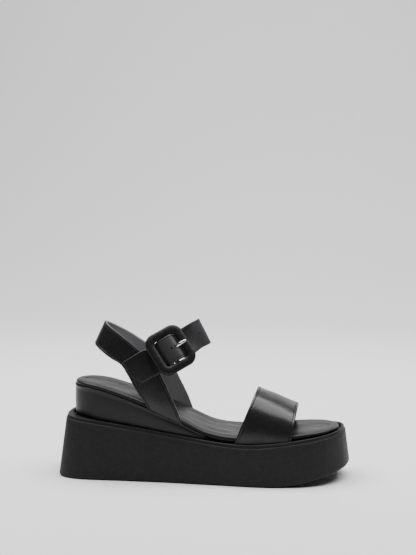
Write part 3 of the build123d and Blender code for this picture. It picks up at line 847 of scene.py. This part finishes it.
def prong_bar():
    """The bent, tapering prong, from the bar to just past the rim."""
    top = FRAME_MID + FRAME_THICK / 2 + 0.35 + 0.75 - BAR_DROP
    track = [(0.4, 0.9), (1.3, 0.8), (4.2, 1.3), (6.6, 2.5), (8.4, top - 1.2), (10.0, top - 0.3),
             (12.2, top - 0.02), (14.4, top - 0.05), (15.6, top - 0.1), (16.1, top - 0.14)]
    sizes = [1.1, 1.25, 1.3, 1.3, 1.3, 1.3, 1.25, 1.15, 0.9, 0.45]
    verts, faces, m = [], [], 16
    for i, ((u, w), half) in enumerate(zip(track, sizes)):
        p, q = track[max(i - 1, 0)], track[min(i + 1, len(track) - 1)]
        length = hypot(q[0] - p[0], q[1] - p[1])
        tu, tw = (q[0] - p[0]) / length, (q[1] - p[1]) / length
        for k in range(m):
            a = 2 * pi * k / m
            c = copysign(abs(cos(a)) ** 0.8, cos(a)) * half
            h = copysign(abs(sin(a)) ** 0.8, sin(a)) * 0.75 * min(1, half / 0.9)
            verts.append(spot(u - tw * h, c, w + BAR_DROP + tu * h))
    for i in range(len(track) - 1):
        for k in range(m):
            faces.append((i * m + k, i * m + (k + 1) % m, (i + 1) * m + (k + 1) % m, (i + 1) * m + k))
    faces += [tuple(range(m))[::-1], tuple(range((len(track) - 1) * m, len(track) * m))]
    return verts, faces


def prong_eye():
    """The ring of the prong round the bar."""
    verts, faces, n, m = [], [], 28, 12
    for i in range(n):
        a = 2 * pi * i / n
        for k in range(m):
            b = 2 * pi * k / m
            radius = BAR_R + 0.5 + 0.42 * cos(b)
            verts.append(spot(radius * cos(a), 1.25 * sin(b), BAR_DROP + radius * sin(a)))
    for i in range(n):
        j = (i + 1) % n
        for k in range(m):
            p = (k + 1) % m
            faces.append((i * m + k, i * m + p, j * m + p, j * m + k))
    return verts, faces


def build_buckle():
    build_wrap()
    prong = merge(prong_bar(), prong_eye())
    paint(piece("buckle_prong", *prong, "tongue", "bright_steel", ["buckle_tongue"]), STEEL_MAT)


# ---- room, light and camera --------------------------------------------------------------
FLOOR_HALF, FLOOR_NEAR, SWEEP_START, SWEEP_RADIUS, WALL_TOP = 7.0, -9.0, 1.2, 0.9, 4.0    # metres
SKY, SKY_SEEN, SKY_LIGHT = (0.98, 0.985, 1.0, 1), 0.55, 0.07
LENS, SENSOR, DISTANCE = 69.75, 36.0, 1.0             # mm, mm, metres
AZIMUTH, ELEVATION = radians(7.0), radians(11.5)      # from the anchor to the camera
PITCH, YAW = radians(90 - 3.742), radians(6.893)
ANCHOR = Vector((3.0, 0.0, 45.0))                     # mm


def build_stage():
    """Plain floor that sweeps up into a wall."""
    verts, faces, steps, r = [], [], 24, SWEEP_RADIUS
    profile = [(FLOOR_NEAR, 0.0), (-3.0, 0.0), (SWEEP_START, 0.0)]
    for k in range(1, steps + 1):
        q = pi / 2 * k / steps
        profile.append((SWEEP_START + r * sin(q), r - r * cos(q)))
    profile.append((SWEEP_START + r, WALL_TOP))
    for y, z in profile:
        verts += [(-FLOOR_HALF, y, z), (FLOOR_HALF, y, z)]
    for i in range(len(profile) - 1):
        faces.append((2 * i, 2 * i + 1, 2 * i + 3, 2 * i + 2))
    stage = solid("studio_floor", verts, faces)
    stage.data.polygons.foreach_set("use_smooth", [True] * len(faces))
    paint(stage, material("paper", (0.80, 0.795, 0.805), 0.9, fine=0.05, spread=0.01, specular=0.1))


def area(name, at, target, size, power):
    """Rectangular light; metres and watts."""
    data = bpy.data.lights.new(name, "AREA")
    data.shape, data.size, data.size_y = "RECTANGLE", size[0], size[1]
    data.energy = power
    obj = bpy.data.objects.new(name, data)
    obj.location = at
    obj.rotation_euler = (Vector(target) - Vector(at)).to_track_quat("-Z", "Y").to_euler()
    bpy.context.scene.collection.objects.link(obj)


def build_light():
    """Overhead softbox and backdrop light; the sky lights the scene less than it shows."""
    world = bpy.data.worlds.new("studio")
    bpy.context.scene.world = world
    world.use_nodes = True
    nodes, links = world.node_tree.nodes, world.node_tree.links
    seen, dim, mix = nodes.new("ShaderNodeBackground"), nodes["Background"], nodes.new("ShaderNodeMixShader")
    for node, strength in ((seen, SKY_SEEN), (dim, SKY_LIGHT)):
        node.inputs["Color"].default_value, node.inputs["Strength"].default_value = SKY, strength
    links.new(nodes.new("ShaderNodeLightPath").outputs["Is Camera Ray"], mix.inputs["Fac"])
    links.new(dim.outputs["Background"], mix.inputs[1])
    links.new(seen.outputs["Background"], mix.inputs[2])
    links.new(mix.outputs["Shader"], nodes["World Output"].inputs["Surface"])
    area("overhead", (0.0, 0.12, 1.3), (0, 0.12, 0), (2.4, 1.1), 56)
    area("backdrop", (0.0, 0.7, 1.7), (0, 2.1, 0.5), (2.6, 0.9), 30)


def build_camera():
    data = bpy.data.cameras.new("camera")
    data.sensor_width, data.lens = SENSOR, LENS
    data.clip_start, data.clip_end = 0.01, 20
    cam = bpy.data.objects.new("camera", data)
    back = Vector((sin(AZIMUTH) * cos(ELEVATION), -cos(AZIMUTH) * cos(ELEVATION), sin(ELEVATION)))
    cam.location = (ANCHOR + CENTRE) * MM + back * DISTANCE
    cam.rotation_euler = (PITCH, 0, YAW)
    bpy.context.scene.collection.objects.link(cam)
    bpy.context.scene.camera = cam


build_stage()
build_light()
build_camera()
build_platform()
build_wedge_cover()
build_footbed()
sling = build_straps()
build_ankle_strap()
build_chape(sling)
build_buckle()
